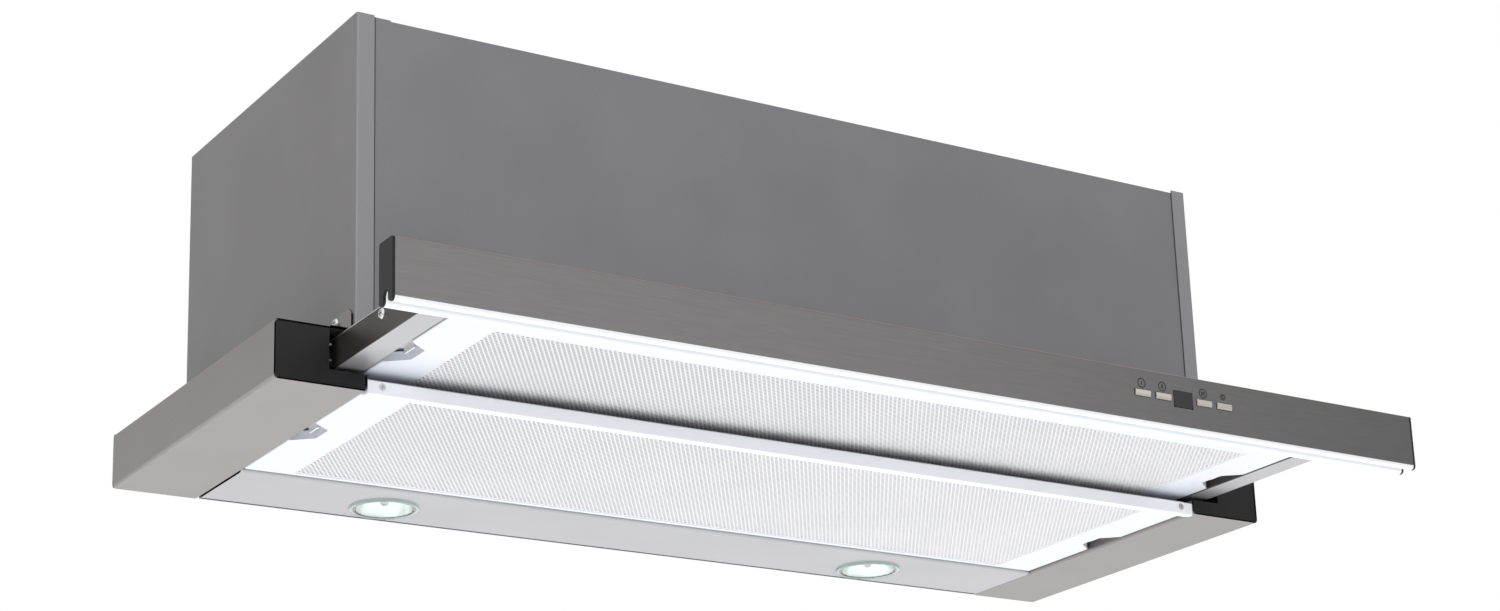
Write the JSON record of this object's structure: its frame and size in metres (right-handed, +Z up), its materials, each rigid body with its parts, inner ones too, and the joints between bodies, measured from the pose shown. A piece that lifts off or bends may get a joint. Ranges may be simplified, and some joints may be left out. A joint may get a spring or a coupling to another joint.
{
  "type": "pull-out range hood",
  "caption": "Built-in cooker hood with a drawer front that slides out over a second grease filter, push keys, twin lamps, centrifugal fan and round top outlet.",
  "frame": {"origin": "middle of the bounding box with the drawer pulled out, at the level of the lowest edge of the drawer front and lamp glasses", "axes": "+X along the width, to the right of someone facing the hood; +Y back towards the wall; +Z up"},
  "size_m": [0.898, 0.5, 0.325],
  "materials": {
    "painted_steel": "fine textured grey paint",
    "stainless": "brushed along its length",
    "lamp_sheet": "satin",
    "black_plastic": "fine grained",
    "white_aluminium": "satin",
    "filter_mesh": "bright mesh",
    "zinc_steel": "zinc plated",
    "bright_screws": "bright",
    "lamp_mirror": "polished",
    "lamp_glass": "clear, faintly green",
    "rubber": "matt",
    "grey_plastic": "moulded",
    "rotor_plastic": "moulded",
    "display": "glossy, dark",
    "board": "lacquered",
    "chrome_keys": "polished"
  },
  "bodies": {
    "hood": {"left_side_panel": "painted_steel", "right_side_panel": "painted_steel", "front_panel": "painted_steel", "back_panel": "painted_steel", "roof_panel": "painted_steel", "left_wing": "stainless", "right_wing": "stainless", "left_wing_cap": "black_plastic", "right_wing_cap": "black_plastic", "cross_bar": "white_aluminium", "lamp_panel": "lamp_sheet", "lamp_cans": "zinc_steel", "lamp_reflectors": "lamp_mirror", "lamp_capsules": "lamp_glass", "lamp_glasses": "lamp_glass", "left_brackets": "stainless", "right_brackets": "stainless", "hood_screws": "bright_screws", "left_runner": "zinc_steel", "right_runner": "zinc_steel", "runner_buffers": "rubber", "blower_scroll": "grey_plastic", "outlet_adapter": "grey_plastic", "fan_motor": "zinc_steel", "motor_bracket": "zinc_steel", "duct_collar": "black_plastic", "control_box": "grey_plastic", "capacitor": "grey_plastic", "cable_gland": "black_plastic", "fixed_filter_frame": "white_aluminium", "fixed_filter_mesh": "filter_mesh", "fixed_filter_pad": "filter_mesh"},
    "drawer": {"drawer_front": "stainless", "front_lip": "white_aluminium", "rear_lip": "white_aluminium", "left_end_cap": "black_plastic", "right_end_cap": "black_plastic", "left_rail": "stainless", "right_rail": "stainless", "drawer_cover": "zinc_steel", "drawer_crossmember": "zinc_steel", "drawer_glides": "grey_plastic", "rail_screws": "bright_screws", "display_window": "display", "control_board": "board", "moving_filter_frame": "white_aluminium", "moving_filter_mesh": "filter_mesh", "moving_filter_pad": "filter_mesh"},
    "fixed_left_latch": {"fixed_left_latch": "zinc_steel"},
    "fixed_right_latch": {"fixed_right_latch": "zinc_steel"},
    "moving_left_latch": {"moving_left_latch": "zinc_steel"},
    "moving_right_latch": {"moving_right_latch": "zinc_steel"},
    "impeller": {"impeller": "rotor_plastic", "motor_shaft": "zinc_steel"},
    "front_flap": {"front_flap": "zinc_steel"},
    "rear_flap": {"rear_flap": "zinc_steel"},
    "power_key": {"power_key": "chrome_keys"},
    "slow_key": {"slow_key": "chrome_keys"},
    "fast_key": {"fast_key": "chrome_keys"},
    "light_key": {"light_key": "chrome_keys"}
  },
  "joints": [
    {"name": "drawer_slide", "type": "slide", "parent": "hood", "child": "drawer", "axis": [0, 1, 0], "range_m": [0, 0.168]},
    {"name": "fixed_left_latch_slide", "type": "slide", "parent": "hood", "child": "fixed_left_latch", "axis": [1, 0, 0], "range_m": [0, 0.005], "stiffness_N_per_m": 300, "springref_m": -0.003},
    {"name": "fixed_right_latch_slide", "type": "slide", "parent": "hood", "child": "fixed_right_latch", "axis": [-1, 0, 0], "range_m": [0, 0.005], "stiffness_N_per_m": 300, "springref_m": -0.003},
    {"name": "moving_left_latch_slide", "type": "slide", "parent": "drawer", "child": "moving_left_latch", "axis": [1, 0, 0], "range_m": [0, 0.005], "stiffness_N_per_m": 300, "springref_m": -0.003},
    {"name": "moving_right_latch_slide", "type": "slide", "parent": "drawer", "child": "moving_right_latch", "axis": [-1, 0, 0], "range_m": [0, 0.005], "stiffness_N_per_m": 300, "springref_m": -0.003},
    {"name": "impeller_spin", "type": "hinge", "parent": "hood", "child": "impeller", "pos_m": [0, 0.036, 0.16], "axis": [1, 0, 0], "continuous": true},
    {"name": "front_flap_hinge", "type": "hinge", "parent": "hood", "child": "front_flap", "pos_m": [0, 0.111, 0.299], "axis": [-1, 0, 0], "range_deg": [0, 75]},
    {"name": "rear_flap_hinge", "type": "hinge", "parent": "hood", "child": "rear_flap", "pos_m": [0, 0.119, 0.299], "axis": [1, 0, 0], "range_deg": [0, 75]},
    {"name": "power_key_press", "type": "slide", "parent": "drawer", "child": "power_key", "axis": [0, 1, 0], "range_m": [0, 0.0012], "stiffness_N_per_m": 400, "springref_m": -0.002},
    {"name": "slow_key_press", "type": "slide", "parent": "drawer", "child": "slow_key", "axis": [0, 1, 0], "range_m": [0, 0.0012], "stiffness_N_per_m": 400, "springref_m": -0.002},
    {"name": "fast_key_press", "type": "slide", "parent": "drawer", "child": "fast_key", "axis": [0, 1, 0], "range_m": [0, 0.0012], "stiffness_N_per_m": 400, "springref_m": -0.002},
    {"name": "light_key_press", "type": "slide", "parent": "drawer", "child": "light_key", "axis": [0, 1, 0], "range_m": [0, 0.0012], "stiffness_N_per_m": 400, "springref_m": -0.002}
  ]
}
